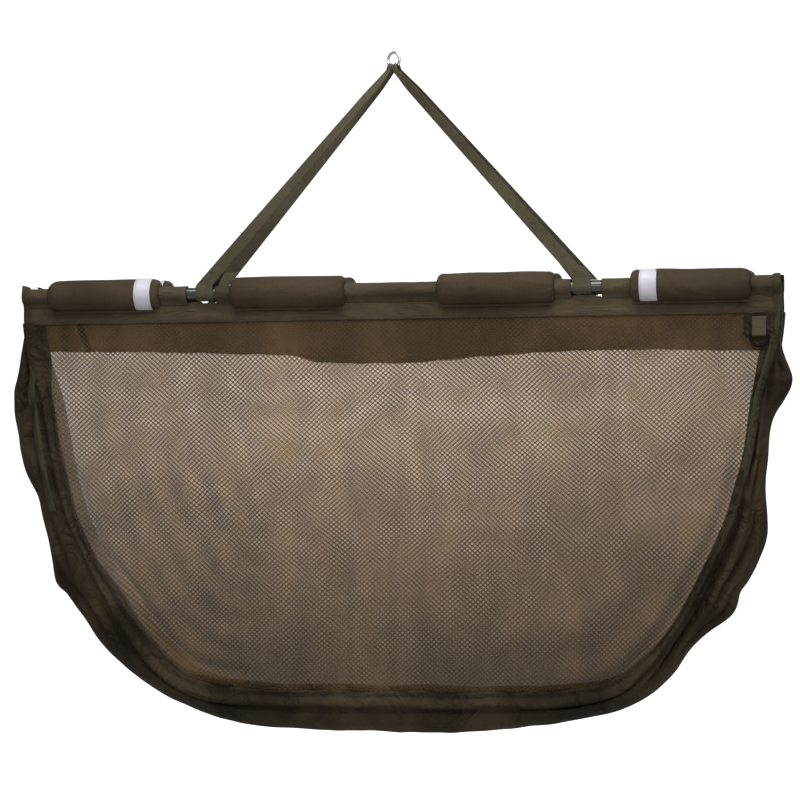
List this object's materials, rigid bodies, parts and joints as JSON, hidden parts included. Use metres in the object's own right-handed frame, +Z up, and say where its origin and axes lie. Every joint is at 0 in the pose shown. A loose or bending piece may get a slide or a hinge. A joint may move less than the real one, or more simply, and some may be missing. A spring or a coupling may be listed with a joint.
{
  "type": "weigh sling",
  "caption": "Carp weigh sling: mesh bag on floating bars, hung by webbing straps from a steel ring, with a mouth that spreads open and a tie ring.",
  "frame": {"origin": "the point inside the lifting ring where the scale's hook bears", "axes": "+X along the bars to the sling's right as seen from the front, -Y to the front, +Z up"},
  "size_m": [1.1758, 0.1114, 1.0122],
  "materials": {
    "chrome": "polished steel",
    "webbing": "woven olive webbing",
    "pole_coat": "gloss dark green coated tube",
    "ferrule_metal": "plain turned",
    "cap_plastic": "moulded",
    "sleeve_cloth": "coated olive polyester",
    "cover_cloth": "coated brown polyester",
    "foam": "closed cell foam",
    "reflective_tape": "retroreflective band",
    "mesh_cloth": "open knitted mesh",
    "border_cloth": "coated brown polyester",
    "gusset_cloth": "soft dark brown nylon",
    "flap_cloth": "light brown nylon",
    "binding_tape": "folded binding tape",
    "d_ring_coat": "black coated wire"
  },
  "bodies": {
    "ring": {"lifting_ring": "chrome"},
    "front_straps": {"front_strap_left": "webbing", "front_strap_right": "webbing"},
    "front_side": {"d_ring_tab": "webbing", "front_binding_left": "binding_tape", "front_binding_right": "binding_tape", "front_border": "border_cloth", "front_end_cap_left": "cap_plastic", "front_end_cap_right": "cap_plastic", "front_float_core_inner_left": "foam", "front_float_core_inner_right": "foam", "front_float_core_outer_left": "foam", "front_float_core_outer_right": "foam", "front_float_cover_inner_left": "cover_cloth", "front_float_cover_inner_right": "cover_cloth", "front_float_cover_outer_left": "cover_cloth", "front_float_cover_outer_right": "cover_cloth", "front_hem": "sleeve_cloth", "front_mesh_panel": "mesh_cloth", "front_mouth_flap": "flap_cloth", "front_pole_ferrule": "ferrule_metal", "front_pole_left": "pole_coat", "front_pole_right": "pole_coat", "front_reflective_band_left": "reflective_tape", "front_reflective_band_right": "reflective_tape", "front_sleeve_centre": "sleeve_cloth", "front_sleeve_left": "sleeve_cloth", "front_sleeve_right": "sleeve_cloth", "gusset_base": "gusset_cloth", "gusset_left": "gusset_cloth", "gusset_right": "gusset_cloth"},
    "rear_side": {"rear_binding_left": "binding_tape", "rear_binding_right": "binding_tape", "rear_border": "border_cloth", "rear_end_cap_left": "cap_plastic", "rear_end_cap_right": "cap_plastic", "rear_float_core_inner_left": "foam", "rear_float_core_inner_right": "foam", "rear_float_core_outer_left": "foam", "rear_float_core_outer_right": "foam", "rear_float_cover_inner_left": "cover_cloth", "rear_float_cover_inner_right": "cover_cloth", "rear_float_cover_outer_left": "cover_cloth", "rear_float_cover_outer_right": "cover_cloth", "rear_hem": "sleeve_cloth", "rear_mesh_panel": "mesh_cloth", "rear_mouth_flap": "flap_cloth", "rear_pole_ferrule": "ferrule_metal", "rear_pole_left": "pole_coat", "rear_pole_right": "pole_coat", "rear_reflective_band_left": "reflective_tape", "rear_reflective_band_right": "reflective_tape", "rear_sleeve_centre": "sleeve_cloth", "rear_sleeve_left": "sleeve_cloth", "rear_sleeve_right": "sleeve_cloth"},
    "rear_straps": {"rear_strap_left": "webbing", "rear_strap_right": "webbing"},
    "tie_ring": {"d_ring": "d_ring_coat"}
  },
  "joints": [
    {"name": "mouth_opening", "type": "hinge", "parent": "front_side", "child": "rear_side", "pos_m": [0, 0, -1.007], "axis": [-1, 0, 0], "range_deg": [0, 12], "deforming": ["gusset_left", "gusset_base", "gusset_right"]},
    {"name": "front_strap_swing", "type": "hinge", "parent": "ring", "child": "front_straps", "pos_m": [0, 0, -0.0199], "axis": [-1, 0, 0], "range_deg": [0, 11.93]},
    {"name": "front_bar_pivot", "type": "hinge", "parent": "front_straps", "child": "front_side", "pos_m": [0, -0.032, -0.353], "axis": [1, 0, 0], "range_deg": [0, 17.93]},
    {"name": "rear_bar_pivot", "type": "hinge", "parent": "rear_side", "child": "rear_straps", "pos_m": [0, 0.032, -0.353], "axis": [1, 0, 0], "range_deg": [0, 17.93]},
    {"name": "tie_ring_swing", "type": "hinge", "parent": "front_side", "child": "tie_ring", "pos_m": [0.541, -0.03778, -0.426], "axis": [-1, 0, 0], "range_deg": [0, 150]}
  ],
  "couplings": [
    {"joint": "front_strap_swing", "follows": "mouth_opening", "ratio": 0.99447},
    {"joint": "front_bar_pivot", "follows": "mouth_opening", "ratio": 1.4945},
    {"joint": "rear_bar_pivot", "follows": "mouth_opening", "ratio": 1.4945}
  ]
}
